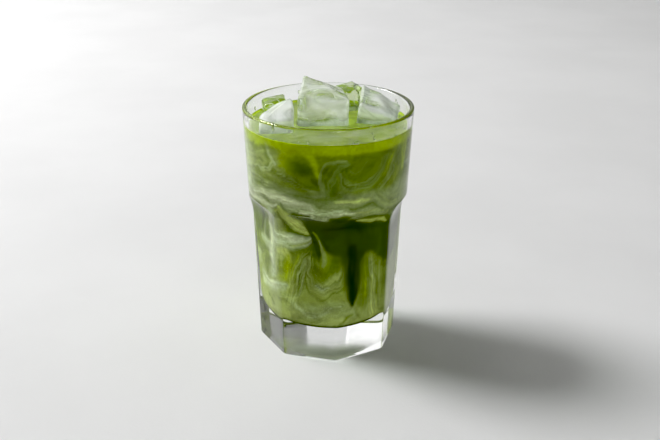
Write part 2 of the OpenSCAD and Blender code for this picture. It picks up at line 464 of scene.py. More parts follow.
class Swirls:
    """The drink's colour at points in millimetres, painted in soft streaky strokes, one over another."""

    def __init__(self, points):
        self.points = points
        self.angle = np.degrees(np.arctan2(points[:, 0], -points[:, 1]))
        self.height = points[:, 2].copy()
        drift = points + 3 * np.stack([lattice_noise(points, 7, s) for s in (1, 2, 3)], -1)
        self.curl = np.stack([lattice_noise(drift, 8, s) + 0.45 * lattice_noise(drift, 3.6, s + 1)
                              + 0.12 * lattice_noise(drift, 1.7, s + 2) for s in (11, 21)], -1)
        self.colour = np.zeros((len(points), 3))
        self.strokes = 0

    def paint(self, colour, cover):
        self.colour += (np.array(colour) - self.colour) * np.clip(cover, 0, 1)[:, None]

    def stroke(self, colour, amount, route, soft=1.0, streaks=0.5, wander=1.0, strand=1.1):
        """Paints an amount of colour, up to 1, along a route of [angle, height, half width].

        soft is how blurred the edges are, streaks how much the strands along it show, wander how far it
        strays in mm, and strand how wide one strand is.
        """
        self.strokes += 1
        line = smooth_curve(route)
        place = line[:, :2] * (MM_PER_DEGREE, 1)
        width = np.maximum(line[:, 2], 0.15)
        first = line[0, 0]
        x = ((self.angle - first + 180) % 360 - 180 + first) * MM_PER_DEGREE
        p = np.stack([x, self.height], -1) + wander * self.curl
        margin = width.max() * (1 + soft) + 0.5
        near = np.flatnonzero(((p > place.min(0) - margin) & (p < place.max(0) + margin)).all(1))
        if not len(near):
            return
        p = p[near]
        reach = np.full(len(p), 1e9)
        nearest = np.zeros(len(p), int)
        for k, spot in enumerate(place):
            far = np.hypot(p[:, 0] - spot[0], p[:, 1] - spot[1]) / width[k]
            closer = far < reach
            reach[closer] = far[closer]
            nearest[closer] = k
        run = np.gradient(place, axis=0)
        length = np.hypot(*run.T)
        run /= np.maximum(length, 1e-6)[:, None]
        travelled = np.concatenate([[0], np.cumsum(np.hypot(*np.diff(place, axis=0).T))])
        offset = p - place[nearest]
        along = travelled[nearest] + (offset * run[nearest]).sum(1)
        across = offset[:, 0] * run[nearest, 1] - offset[:, 1] * run[nearest, 0]
        t = np.clip((1 + 0.5 * soft - reach) / (1.5 * soft), 0, 1)
        cover = t * t * (3 - 2 * t)
        broad = np.stack([across / strand, along / 9, 0 * along], -1)
        narrow = np.stack([across / strand * 2.1, along / 6, 0 * along], -1)
        strands = lattice_noise(broad, 1.0, 40 + self.strokes)
        strands += 0.5 * lattice_noise(narrow, 1.0, 90 + self.strokes)
        cover *= np.clip(1 - streaks * (0.55 - 0.75 * strands), 0, 1)
        self.colour[near] += (np.array(colour) - self.colour[near]) * (amount * cover)[:, None]
        self.colour[near] *= (1 + 0.3 * streaks * strands * t)[:, None]

    def patch(self, colour, amount, angle, height, wide, high, **more):
        """Paints a soft oval patch, wide and high in millimetres."""
        if wide >= high:
            half = (wide - high) / 2 / MM_PER_DEGREE
            route = [[angle - half, height, high / 2], [angle + half, height, high / 2]]
        else:
            half = (high - wide) / 2
            route = [[angle, height + half, wide / 2], [angle, height - half, wide / 2]]
        self.stroke(colour, amount, route, **more)


def base_coat(s):
    """What lies all round: a lime rim with painted glow, an olive upper part, a pale cloud, a green deep and
    a pale floor.
    """
    z = s.height + 1.6 * s.curl[:, 0]
    n = lattice_noise(s.points * (1, 1, 0.35), 13, 5)

    def above(level, soft):
        t = np.clip((z - level) / soft + 0.5, 0, 1)
        return t * t * (3 - 2 * t)
    s.paint(PALE, np.ones(len(z)))
    s.paint(MEADOW, above(29 + 3 * n, 10) * 0.75)
    s.paint(OLIVE, above(48 + 6 * n, 14) * 0.65)
    s.paint(FOREST, above(62 + 5 * n, 8) * 0.6)
    s.paint(SAGE, above(84 + 2 * n, 2.5))
    s.paint(OLIVE, above(97 + 3 * n, 6))
    # the lime rim under the surface: the drink's green with painted glow of light shining through it
    s.paint(LIME_GLOW, above(117.2 + n, 3.5) * 0.9)


def upper_part(s):
    """The rim with its painted glow, the lobe under it with its painted highlight and shade, the curl and the
    arcs, above the cloud.
    """
    s.stroke(PALE, 0.85, [[-46, 104, 7], [-62, 106, 8], [-76, 106, 8]], streaks=0.7, strand=1.6)
    s.stroke(CLOUD, 0.75, [[-86, 119, 4], [-79, 108, 6], [-79, 95, 6]], streaks=0.4, strand=1.5)
    s.stroke(CLOUD, 0.6, [[-84, 112, 1], [-79, 104, 1.6], [-80, 95, 1.6]], streaks=0.9)
    s.stroke(STEM, 0.7, [[-44, 113, 3], [-56, 110, 6], [-72, 108, 7]], streaks=0.6, wander=1.6, strand=1.4)
    s.stroke(OLIVE, 0.5, [[-67, 118, 2], [-66, 106, 2.6], [-64, 98, 2]], soft=0.9, streaks=0.8, wander=1.5)
    s.stroke(MOSS, 0.6, [[-57, 116, 0.8], [-54, 111, 1.6], [-56, 106, 0.8]], wander=1.6)
    s.stroke(CLOUD, 0.5, [[-54, 118, 0.8], [-51, 112, 1.3], [-46, 108.5, 0.8]], wander=1.6, **FINE)
    s.stroke(CLOUD, 0.5, [[-66, 104, 0.8], [-55, 106.6, 1.3], [-44, 109.5, 0.8]], wander=1.8, **FINE)
    # the lime rim again, across the front: painted glow
    s.stroke(LIME_GLOW, 1, [[-42, 119.6, 1.6], [-20, 119.4, 2], [0, 118.6, 3], [20, 118.2, 2.8], [40, 118.6, 2.4],
        [58, 119, 2.6]], streaks=0.1, wander=0.3)
    s.stroke(MOSS, 0.55, [[8, 115.6, 1.4], [22, 114.6, 2], [38, 115.4, 1.4]], streaks=0.8)
    # the lobe, where an ice cube presses on the wall: painted highlight on its upper left, painted shade on
    # its lower right
    s.patch(LIME_SOFT, 1, -28, 110.8, 15, 13, soft=0.5, streaks=0.1, wander=0.5)
    s.stroke(GLOW, 1, [[-41, 109, 1.6], [-39, 114, 2.6], [-31, 117.4, 2.4], [-22, 118, 1.4]], streaks=0.1,
        wander=0.5)
    # painted shade on the lobe's lower right
    s.patch(MOSS, 0.9, -25, 109.2, 11.5, 9.6, soft=0.8, streaks=0.1, wander=0.5)
    s.patch(DEEP, 0.75, -23, 107.8, 7.4, 6, streaks=0.1, wander=0.5)
    # a lime edge along the lobe's right side: painted glow
    s.stroke(LIME_GLOW, 1, [[-24, 119.6, 2.2], [-18, 115, 1.7], [-14.6, 110.5, 1.5], [-13, 105, 0.9]],
        streaks=0.15, wander=0.5)
    s.stroke(OLIVE, 0.8, [[-46, 105, 2.4], [-36, 103, 3], [-26, 100, 2.4]], soft=0.9, streaks=0.9, strand=0.7)
    s.stroke(SAGE, 0.75, [[-44, 103.6, 1], [-33, 103, 2], [-24, 100, 1.6], [-16, 96.4, 0.9]], streaks=1.0,
        wander=1.7, strand=0.75)
    s.stroke(FOREST, 0.6, [[-39, 106, 0.4], [-29, 103.4, 0.6], [-20, 99.6, 0.7]], wander=1.7)
    s.stroke(BLACK, 0.8, [[-17, 103.8, 0.9], [-13.5, 102.4, 2.4], [-11.5, 100, 1]], soft=0.9, streaks=0.4)
    s.stroke(MOSS, 0.7, [[-20, 100, 2], [-10, 98, 2.4], [0, 97.5, 2.6]], soft=0.9)
    s.stroke(MOSS, 0.9, [[-3, 97, 3], [-1.5, 105, 3.6], [1, 110, 3.2], [7, 111, 2.4]], soft=0.9)
    s.stroke(HAZE, 0.9, [[-10, 92, 2], [-9.4, 101, 2.8], [-6.6, 108.6, 3], [-1, 112.4, 2.6], [6, 112.6, 2]],
        soft=0.8, streaks=0.8, wander=1.3, strand=0.8)
    s.stroke(SAGE, 0.55, [[-11, 93, 0.9], [-10.6, 102, 1.2], [-8.4, 110, 1.2], [-2.4, 114.2, 1.1],
        [5, 114.6, 0.8]], streaks=1.1, wander=1.3, strand=0.75)
    s.stroke(HAZE, 0.8, [[-4.4, 94, 1.2], [-3.4, 102, 1.7], [-0.4, 108, 1.7], [6, 110.8, 1.4]], streaks=1.0,
        wander=1.3, strand=0.75)
    s.stroke(OLIVE, 0.8, [[-2, 105, 1.3], [4, 99.8, 1.9], [14, 97.6, 2.2], [26, 99, 2.2], [35, 104.5, 1.9],
        [41, 112, 1.4]], soft=0.9, streaks=0.7, wander=1.5)
    s.stroke(HAZE, 0.9, [[0.5, 109, 1.6], [4, 103, 2.8], [12, 100.4, 3.2], [22, 101.4, 3.3], [31, 106, 2.8],
        [36, 113, 1.6]], soft=0.8, wander=1.6, **FINE)
    s.stroke(SAGE, 0.6, [[0.5, 107, 0.8], [5, 102, 1.4], [13, 99.6, 1.6], [23, 101, 1.7], [31, 106.4, 1.4],
        [36, 113, 0.8]], soft=0.9, streaks=1.2, wander=1.6, strand=0.75)
    s.stroke(MOSS, 0.7, [[5, 108.8, 1.2], [9, 105.2, 1.7], [15, 104.4, 1.9], [21, 106.2, 1.7],
        [26, 111, 1.1]], soft=0.9, streaks=0.8, wander=1.4, strand=0.8)
    s.stroke(HAZE, 0.8, [[8, 109.6, 0.8], [13, 107, 1.3], [18, 108.2, 1.3], [22, 112.6, 0.9]], streaks=1.0,
        wander=1.4, strand=0.75)
    s.stroke(SAGE, 0.55, [[51, 116, 1.4], [46, 108, 2.6], [41, 101, 2.4], [33, 97, 1.2]], streaks=1.0,
        wander=1.5, strand=0.8)
    s.stroke(GLOW, 0.55, [[45, 116, 0.9], [40, 109, 1.3], [35, 103, 1]], streaks=0.6)
    s.stroke(GLOW, 0.7, [[51, 106, 2], [47, 100, 2.4], [40, 96.5, 1.2]])
    # a lime edge on the right: painted glow
    s.stroke(LIME_GLOW, 0.95, [[59, 120, 2.8], [56.5, 112, 2.2], [57, 103, 1.6]])


def cloud(s):
    """The pale band of milk and its ragged lower edge."""
    s.stroke(OLIVE, 0.7, [[-78, 101, 1.6], [-66, 101, 2], [-56, 99, 1.4]], soft=0.9, streaks=0.8, wander=1.6)
    s.stroke(SAGE, 0.9, [[-84, 96, 2.4], [-66, 97.4, 2.8], [-50, 98, 2.2], [-38, 96.6, 1.8],
        [-24, 93.4, 1.3]], wander=1.8, **FINE)
    s.stroke(MOSS, 0.55, [[-66, 95, 0.7], [-52, 96.4, 0.9], [-40, 96.6, 0.8], [-28, 94.6, 0.9]], wander=2.0)
    s.stroke(OLIVE, 0.7, [[-73, 92.6, 1.2], [-63, 92, 1.7], [-56, 89, 1.2]], soft=0.9, wander=1.8)
    s.stroke(CREAM, 0.9, [[-72, 90, 1.8], [-58, 91.4, 2.6], [-46, 92, 3.2], [-36, 91, 3.2], [-27, 89.4, 2.3],
        [-18, 87, 1.4]], streaks=0.5, wander=1.8, strand=1.1)
    s.stroke(MOSS, 0.85, [[-30, 95.5, 1.5], [-16, 93, 2.7], [-2, 94.2, 2.3], [8, 96.4, 1.5]], streaks=0.7,
        wander=2.0)
    s.stroke(FOREST, 0.5, [[-44, 95.4, 0.5], [-33, 93.8, 0.8], [-23, 91.4, 0.9], [-12, 90, 0.6]], wander=2.2)
    s.stroke(CLOUD, 0.7, [[-36, 88, 1.6], [-22, 86.4, 2.2], [-10, 86, 2.4], [2, 86.6, 2.2], [10, 86, 1.2]],
        soft=0.9, wander=1.8, **FINE)
    s.stroke(MOSS, 0.5, [[-14, 89.6, 0.6], [-4, 89, 1], [6, 89.4, 0.8]], wander=2.0)
    s.stroke(LEAF, 0.6, [[0, 93, 1], [10, 92.6, 2.2], [19, 92, 1.8], [30, 89.6, 1]], wander=1.8, **FINE)
    s.stroke(MOSS, 0.8, [[8, 89, 0.9], [18, 88.8, 1.7], [30, 87.6, 1.2], [40, 86, 0.7]], soft=0.9, wander=2.0)
    s.stroke(PALE, 0.7, [[34, 93, 2], [44, 88.6, 3], [54, 84.6, 2.4]], streaks=1.0, wander=1.6, strand=0.8)
    s.stroke(MOSS, 0.5, [[22, 96.6, 0.8], [34, 93.4, 1.2], [46, 88, 1]], streaks=0.8, wander=2.0)
    s.stroke(CREAM, 0.8, [[-28, 85, 0.8], [-16, 83.8, 1.5], [-6, 84, 1.4], [4, 84.8, 1.2], [16, 84.8, 0.8]],
        soft=0.8, streaks=0.7, wander=1.9, strand=0.7)


def deep(s):
    """The dark green below the cloud, with its ragged lower edge."""
    z, angle = s.height + 0.8 * s.curl[:, 0], s.angle + 1.2 * s.curl[:, 1]
    top = np.interp(angle, [-30, -22, -12, 0, 10, 20, 30, 42, 56],
                    [83.4, 84, 82.2, 82.2, 83.4, 81, 79, 78, 76])
    low = np.interp(angle, [-30, -24, -20, -14, -9, 0, 8, 24, 30, 40, 56],
                    [82, 74, 67, 58, 62, 60, 58, 55, 60, 59, 52])
    edge = np.clip((top - z) / 0.8, 0, 1) * np.clip((z - low) / 3 + 0.5, 0, 1)
    edge *= np.clip((angle + 28) / 4, 0, 1) * np.clip((96 - angle) / 38, 0, 1)
    s.paint(DEEP, edge)
    heart = np.clip((angle + 15) / 6, 0, 1) * np.clip((34 - angle) / 12, 0, 1)
    s.paint(BLACK, edge * heart * 0.4)
    s.paint(FOREST, edge * np.clip((angle - 34) / 10, 0, 1) * 0.75)
    s.stroke(BLACK, 1, [[-9, 75, 0.6], [0, 75.8, 1.1], [9, 76, 1.3], [18, 74.6, 1.6], [23, 70, 2],
        [22, 63, 2.4]], soft=0.9, streaks=0.2, wander=0.5)
    s.stroke(FOREST, 0.6, [[-6, 80, 0.5], [6, 79.6, 0.9], [18, 79, 0.9], [28, 76, 0.8], [35, 70, 0.8]])
    s.stroke(DEEP, 0.7, [[-6, 68, 1], [2, 64.5, 1.6], [10, 66, 1.4], [20, 65, 1]], soft=0.9)
    s.stroke(FOREST, 0.5, [[36, 72, 0.8], [38, 65, 1.4], [34, 60, 1]], soft=0.9)
    s.stroke(MOSS, 0.6, [[46, 75, 1], [48, 66, 1.4], [47, 58, 1]], soft=0.9)


def right_wisps(s):
    """Threads of milk over the dark, on the right."""
    s.stroke(LEAF, 0.8, [[18, 80.4, 0.5], [25, 79.2, 1.3], [33, 78.9, 1.7], [42, 78.8, 1.4], [53, 75.4, 0.7]],
        soft=0.5, wander=1.4, strand=0.7)
    s.stroke(SAGE, 0.8, [[20, 83.6, 0.5], [30, 83.6, 1], [42, 82.6, 1.3], [54, 80, 1.3]], soft=0.8,
        wander=1.6)
    s.stroke(LEAF, 0.75, [[16, 85.4, 0.4], [24, 84.4, 0.6], [33, 85, 0.5], [45, 82, 0.5]], soft=0.8,
        wander=1.8)
    s.stroke(MOSS, 0.7, [[22, 82, 0.3], [31, 81.4, 0.6], [43, 80.6, 0.4]], soft=0.8, wander=1.6)


def lower_left(s):
    """The cream that runs down the left, the leaf and the blob with its pointed end."""
    s.stroke(PALE, 1, [[-58, 82, 5], [-56, 70, 6], [-54, 60, 5]], soft=0.6)
    s.stroke(MEADOW, 1, [[-47, 84, 2], [-48, 76, 2.2], [-50, 70, 1.6]], soft=0.7)
    s.stroke(CREAM, 0.9, [[-86, 87, 1.8], [-72, 86.6, 2.3], [-62, 85.6, 2], [-54, 86, 1.5], [-47, 88, 0.7]],
        soft=0.7, wander=1.5)
    s.stroke(LEAF, 0.7, [[-62, 82.4, 1.4], [-54, 82.6, 1.8], [-47, 84.6, 1.2]], soft=0.8, wander=1.5)
    s.stroke(CLOUD, 0.9, [[-55, 83, 3], [-57, 74, 4], [-59, 64, 4.4], [-61, 55, 4.6], [-62, 45, 4.6]],
        soft=0.9, streaks=0.35, wander=1.6, strand=1.4)
    s.stroke(CREAM, 0.7, [[-58, 80, 1.6], [-61, 70, 2], [-63, 60, 2.4], [-64, 50, 2.4]], streaks=0.4,
        wander=2.0, strand=1.2)
    s.stroke(PALE, 0.8, [[-50, 80, 1], [-52, 70, 1.6], [-53, 58, 1.6], [-54, 47, 1.4]], streaks=0.9,
        wander=1.8, strand=0.9)
    s.stroke(DEEP, 1, [[-69, 82.4, 0.6], [-74, 77, 1.8], [-80, 71, 1.6], [-84, 66, 1]], soft=0.6)
    s.stroke(OLIVE, 1, [[-66, 80, 1.2], [-66, 74, 2], [-70, 68, 1.2]], soft=0.7, wander=1.4)
    s.stroke(SAGE, 1, [[-68, 76, 0.5], [-73, 71, 1.1], [-78, 63, 1.2]], soft=0.8, wander=1.4)
    s.stroke(CLOUD, 0.8, [[-86, 62, 2], [-75, 60, 2.6], [-64, 59, 2.4]], soft=0.8, streaks=0.4, wander=1.6)
    s.stroke(OLIVE, 0.85, [[-78, 54, 2.4], [-77, 48, 3], [-76, 43, 2.4]], soft=0.6, wander=1.4)
    s.stroke(MEADOW, 1, [[-70, 40.5, 0.8], [-56, 41, 1], [-50, 44, 1.6]], soft=0.8, wander=1.6)
    s.stroke(CLOUD, 0.9, [[-88, 37, 5], [-72, 36, 5.4], [-60, 36, 4], [-50, 38.6, 1.8]], soft=0.8,
        streaks=0.4, wander=1.8, strand=1.3)
    s.stroke(CREAM, 0.7, [[-82, 38, 1.6], [-70, 37, 2.2], [-60, 37.4, 1.4]], streaks=0.6, wander=1.8)
    s.stroke(MOSS, 1, [[-41.5, 89.5, 0.5], [-40, 86, 0.9], [-37.5, 82, 0.5]], soft=0.8)
    s.stroke(MOSS, 1, [[-45, 85, 0.8], [-44.5, 78, 1.4], [-41, 72.6, 1.7], [-32, 70.4, 1.5],
        [-20, 70.4, 0.9]], soft=0.8)
    s.stroke(FOREST, 1, [[-33, 84, 1.2], [-29, 80, 1.7], [-24.5, 74, 1.3]], soft=0.8)
    s.stroke(LEAF, 1, [[-45, 86, 1.2], [-40, 80.6, 3.6], [-34, 76.4, 4], [-27, 73.4, 2.3], [-22, 72, 0.7]],
        soft=0.4, streaks=0.35, wander=0.9, strand=0.9)
    s.stroke(STRAW, 0.6, [[-43, 83, 0.7], [-38, 79, 1.3], [-32, 76.4, 1]], soft=0.9, wander=1.2)
    s.stroke(OLIVE, 0.6, [[-41, 80, 0.3], [-36, 76.6, 0.5], [-30, 74.4, 0.4]], soft=0.8, wander=0.8)
    s.stroke(CLOUD, 0.95, [[-54, 66.4, 4], [-44, 65.6, 5], [-36, 66, 4.4], [-28, 66.8, 3], [-21, 69, 1.5],
        [-16, 72.4, 0.5]], soft=0.45, streaks=0.4, wander=1.0)
    s.stroke(CREAM, 0.7, [[-50, 68.6, 1.4], [-40, 67.6, 2], [-30, 68, 1.4]], soft=0.8, streaks=0.7,
        wander=1.4)
    s.stroke(OLIVE, 0.7, [[-46, 64.6, 0.5], [-38, 63.6, 0.7], [-28, 65.4, 0.7], [-21, 68, 0.4]], soft=0.8,
        wander=1.2)
    s.stroke(PALE, 0.6, [[-40, 63, 1.2], [-30, 65, 1], [-22, 67.6, 0.5]], soft=0.7, wander=1.2)
    s.stroke(STRAW, 0.7, [[-50, 60, 1.8], [-46, 56.6, 2.4], [-43, 54, 1.3]], soft=0.7, wander=1.3)


def lower_middle(s):
    """The fan of streaks, and the nested loops in the middle."""
    s.stroke(GLOW, 0.85, [[-46, 56, 2], [-47, 49, 4], [-50, 44, 3.4]], soft=0.9)
    s.stroke(PALE, 0.85, [[-22, 61, 2], [-31, 51, 4.4], [-38, 42, 5.6], [-44, 32, 5]], soft=0.8, streaks=1.0,
        wander=1.5, strand=0.75)
    s.stroke(MOSS, 0.8, [[-20, 63, 2], [-25, 54, 3.6], [-31, 45, 4.2], [-37, 35, 3.6]], soft=0.9, streaks=1.1,
        wander=1.5, strand=0.8)
    s.stroke(SAGE, 0.8, [[-26, 55, 1.5], [-32, 46, 3], [-38, 37, 3.4], [-43, 30, 3]], soft=0.9, streaks=1.2,
        wander=1.5, strand=0.75)
    s.stroke(GLOW, 0.6, [[-34, 58, 1], [-40, 50, 1.6], [-43, 43, 1.4]], wander=1.5, **FINE)
    s.stroke(MOSS, 0.8, [[-22, 62, 2.5], [-20, 56, 3], [-20, 50, 2]], soft=0.8)
    s.stroke(OLIVE, 1, [[-16, 50, 4.5], [-10, 46, 6], [-3, 50, 4.5], [0, 57, 4]], soft=0.6)
    s.stroke(FOREST, 1, [[-18, 64, 2], [-15, 60, 2.4], [-12, 57, 1.6]], soft=0.8)
    s.stroke(PALE, 0.8, [[-22, 57, 2], [-22, 49, 3], [-16, 42, 3.8], [-8, 40.4, 4], [0, 44, 3.6],
        [4, 51, 2.8], [8, 56, 1.8]], soft=0.8, streaks=0.8, wander=1.5, strand=0.9)
    s.stroke(SAGE, 0.7, [[-24, 56, 1], [-24, 48, 1.6], [-18, 41, 2], [-8, 38.6, 2.2], [1, 42.6, 1.9],
        [6, 50, 1.6], [9, 56, 1]], soft=0.9, streaks=1.1, wander=1.6, strand=0.8)
    s.stroke(MOSS, 0.85, [[-17, 57, 1.2], [-16.6, 51, 1.7], [-12, 47.4, 1.8], [-6, 47.4, 1.7],
        [-1.6, 51.6, 1.5], [0, 57, 1.2]], soft=0.9, streaks=1.0, wander=1.4, strand=0.75)
    s.stroke(CLOUD, 0.5, [[-17, 43, 0.8], [-11, 40.6, 1.6], [-5, 41.6, 1.2]], wander=1.5, **FINE)
    s.stroke(FOREST, 0.7, [[-27, 52, 0.4], [-27, 43, 0.7], [-21, 36.4, 0.8], [-12, 33.8, 0.7],
        [-4, 35.4, 0.5], [2, 38.4, 0.8], [8, 42, 0.5]], soft=0.9, streaks=0.7, wander=1.0)
    s.stroke(OLIVE, 1, [[5, 57, 1], [10, 58.6, 1.4], [13, 58, 0.8]], soft=0.8)
    s.stroke(OLIVE, 0.6, [[4, 56, 2], [6, 48, 2], [8, 40, 2]], soft=0.8)


def lower_right(s):
    """Upright streaks beside the spike."""
    s.stroke(OLIVE, 1, [[30, 58, 3], [31, 44, 4], [30, 30, 4]], soft=0.9)
    s.stroke(MEADOW, 0.8, [[40, 57, 3], [44, 44, 5.5], [46, 28, 6]])
    s.stroke(MOSS, 0.7, [[25.5, 52, 1], [26.5, 40, 1.6], [26, 30, 1.4]], streaks=0.8, wander=1.4)
    s.stroke(GLOW, 0.8, [[29.5, 55, 1], [30.4, 45, 1.7], [30.4, 34, 1.3]], streaks=0.8, wander=1.4)
    s.stroke(SAGE, 0.9, [[37, 56, 1.6], [40, 46, 3.4], [41.5, 36, 4], [43, 24, 4.4]], soft=0.9, streaks=1.1,
        wander=1.5, strand=0.7)
    s.stroke(MOSS, 0.6, [[35, 54, 0.9], [36.4, 43, 1.4], [36.6, 33, 1]], wander=1.5, **FINE)
    s.stroke(STRAW, 0.75, [[40.5, 44, 0.8], [41.5, 34, 2], [43, 26, 2.8], [47, 20, 3]], wander=1.4, **FINE)
    s.stroke(MOSS, 0.7, [[46.5, 57, 1], [47.5, 45, 1.5], [48.5, 33, 1]], wander=1.5, **FINE)
    s.stroke(SAGE, 0.7, [[51, 52, 0.9], [52, 38, 1.5], [52, 24, 1.7]], streaks=0.9, wander=1.4)
    s.stroke(MOSS, 0.7, [[56, 62, 1.4], [57, 46, 1.2], [58, 30, 1]])
    s.stroke(OLIVE, 0.6, [[24, 30, 1.2], [21, 26, 1.6], [26, 22, 1.2]], wander=1.6)


def bottom(s):
    """Milk and a few threads just above the floor."""
    s.stroke(SAGE, 1, [[-52, 31, 3], [-25, 26, 5.6], [0, 28, 5], [18, 25, 3.4]], soft=0.9, streaks=0.6,
        wander=1.6, strand=1.3)
    s.stroke(CLOUD, 0.5, [[-40, 29, 1], [-24, 25.4, 2], [-8, 26.5, 1.8], [6, 29, 0.9]], streaks=0.9,
        wander=1.8, strand=0.7)
    s.stroke(LEAF, 0.5, [[-54, 32, 0.9], [-43, 31.6, 1.6], [-33, 34, 1]], soft=0.9, streaks=0.9, wander=1.6)
    s.stroke(OLIVE, 0.8, [[1, 18.6, 0.9], [7, 21.3, 1.3], [16, 23.4, 0.8]], soft=0.8, wander=1.5)
    s.stroke(OLIVE, 0.8, [[-78, 27, 1.2], [-72, 26.4, 1.6], [-64, 24, 0.8]], soft=0.8, wander=1.5)
    s.stroke(STRAW, 0.55, [[-72, 20, 2.2], [-50, 21.5, 2.2]], soft=0.9, streaks=0.8)
    s.stroke(PALE, 0.6, [[-44, 18.6, 1.6], [-20, 19.4, 2], [4, 22, 1.4]], streaks=0.9, wander=1.6)
    s.stroke(MOSS, 0.4, [[-36, 22, 0.4], [-24, 21, 0.7], [-12, 22.6, 0.4]], wander=1.8)


def spike(s):
    """The black spike, over everything else."""
    s.stroke(DEEP, 1, [[13, 66, 9.5], [14.4, 57, 8], [15.8, 49, 6.6], [16.8, 41, 5], [17, 34, 3.4],
        [17, 30, 1.8]], soft=0.5, streaks=0.25, wander=0.7)
    s.stroke(BLACK, 1, [[14.5, 62, 3.6], [16, 54, 4.2], [16.8, 46, 4.2], [17.2, 40, 3.6], [17.2, 34, 2.6],
        [17.1, 30.6, 1.3]], soft=0.6, streaks=0.25, wander=0.7)


def marbling(s):
    """Soft curled shades all over, and a few veins."""
    warp = np.stack([lattice_noise(s.points, 12, 61 + k) for k in range(3)], -1) * 8
    warp += np.stack([lattice_noise(s.points + 0.5 * warp, 5, 71 + k) for k in range(3)], -1) * 3
    squeeze = np.array([1, 1, 1.6])
    gain = np.ones(len(s.points))
    for size, seed, shade, vein in ((8, 81, 0.13, 0.07), (4.5, 82, 0.13, 0.10),
                                    (2.6, 83, 0.09, 0.08), (1.5, 84, 0.05, 0.03)):
        n = lattice_noise((s.points + warp * (0.6 + 0.1 * size)) * squeeze, size, seed)
        gain += shade * n + vein * ((1 - np.abs(n) / 0.15).clip(0, 1) - 0.25)
    s.colour *= gain.clip(0.6, 1.5)[:, None]
    s.colour[:, 2] += 0.05 * (gain - 1).clip(0, 1) * (s.colour[:, 1] > 0.15)


def swirled(points):
    """Paints all strokes. Each one's strands are seeded by its place in this order."""
    s = Swirls(points)
    base_coat(s)
    far_side(s)
    upper_part(s)
    cloud(s)
    lower_left(s)
    bottom(s)
    lower_right(s)
    lower_middle(s)
    deep(s)
    plume(s)
    right_wisps(s)
    spike(s)
    marbling(s)
    return np.clip(s.colour, 0.001, 0.9)


def plume(s):
    """The thin plume that falls across the dark, and its drop."""
    s.stroke(LIME_SOFT, 0.85, [[-19, 73.5, 0.5], [-14.5, 70, 0.8], [-11, 66, 1], [-8, 61.5, 1.3],
        [-6.2, 57, 1.6], [-8, 53.6, 1.8]], soft=0.7)
    s.stroke(SAGE, 0.9, [[-12.5, 68, 0.4], [-8.4, 61, 0.9], [-6.6, 56.6, 1.2], [-8.8, 53.6, 1]], soft=0.8,
        streaks=0.4)
    s.stroke(OLIVE, 0.7, [[-11, 56, 0.5], [-10, 53, 0.7], [-8, 51.6, 0.5]], soft=0.9)


def far_side(s):
    """Strokes over the sides and back, which the photo doesn't show."""
    rng = np.random.default_rng(26)
    tones = {110: (GLOW, MOSS, SAGE, OLIVE), 95: (SAGE, MOSS, CLOUD, PALE), 80: (CREAM, CLOUD, MOSS, SAGE),
             64: (DEEP, FOREST, MOSS, LEAF), 46: (PALE, MOSS, CLOUD, GLOW), 20: (SAGE, MEADOW, PALE, STRAW)}
    for k in range(FAR_STROKES):
        low = list(tones)[k % 6]
        height = low + rng.uniform(0, 14)
        angle = rng.uniform(66, 268)
        run, fall, bend = rng.uniform(20, 52), rng.uniform(-8, 8), rng.uniform(-4, 4)
        width = rng.uniform(1.8, 5.0)
        route = [[angle - run / 2, height + fall / 2, width * 0.4],
                 [angle - run / 6, height + fall / 6 + bend, width],
                 [angle + run / 6, height - fall / 6 + bend, width],
                 [angle + run / 2, height - fall / 2, width * 0.4]]
        route = [[a, min(h, FILL_Z - 2), w] for a, h, w in route]
        tone = tones[low][rng.integers(4)]
        soft, streaks, amount = rng.uniform(0.5, 1.0), rng.uniform(0.5, 1.1), rng.uniform(0.5, 0.85)
        s.stroke(tone, amount, route, soft=soft, streaks=streaks,
                 wander=rng.uniform(1.4, 2.4), strand=rng.uniform(0.8, 1.4))


